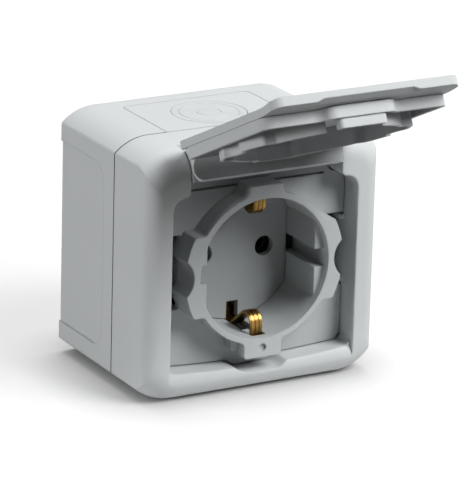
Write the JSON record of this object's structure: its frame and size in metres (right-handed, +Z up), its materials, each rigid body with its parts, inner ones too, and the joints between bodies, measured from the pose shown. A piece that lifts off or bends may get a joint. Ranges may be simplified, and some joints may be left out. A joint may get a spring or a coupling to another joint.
{
  "type": "weatherproof socket outlet",
  "caption": "Surface-mounted square outdoor socket outlet with a round recessed well, sprung earth clips and a hinged weather lid, shown open.",
  "frame": {"origin": "centre of the flat wall face at the back, at the height of the socket's axis", "axes": "+Z up, +X to the right seen from the front, +Y into the wall, so the front faces -Y"},
  "size_m": [0.0706, 0.1021, 0.0989],
  "materials": {
    "housing_plastic": "satin",
    "frame_plastic": "satin",
    "insert_plastic": "satin",
    "lid_plastic": "satin",
    "membrane_rubber": "matte",
    "seal_rubber": "matte",
    "base_plastic": "matte",
    "contact_brass": "polished",
    "terminal_metal": "plated",
    "screw_steel": "zinc plated",
    "pin_steel": "plain"
  },
  "bodies": {
    "housing": {"back_box": "housing_plastic", "box_gasket": "seal_rubber", "entry_plate_top": "housing_plastic", "entry_membrane_top": "membrane_rubber", "entry_plate_bottom": "housing_plastic", "front_frame": "frame_plastic", "frame_screws": "screw_steel", "collar_insert": "insert_plastic", "well_floor": "insert_plastic", "socket_base": "base_plastic", "base_screws": "screw_steel", "contact_left": "contact_brass", "contact_right": "contact_brass", "earth_bow": "contact_brass", "terminal_left": "terminal_metal", "terminal_right": "terminal_metal", "terminal_earth": "terminal_metal", "terminal_screws": "screw_steel", "wall_screw_seals": "seal_rubber", "hinge_pin_left": "pin_steel", "hinge_pin_right": "pin_steel"},
    "lid": {"lid": "lid_plastic", "lid_inner_frame": "lid_plastic"}
  },
  "joints": [
    {"name": "lid_hinge", "type": "hinge", "parent": "housing", "child": "lid", "pos_m": [0, -0.0485, 0.0304], "axis": [1, 0, 0], "range_deg": [0, 115.7]}
  ]
}
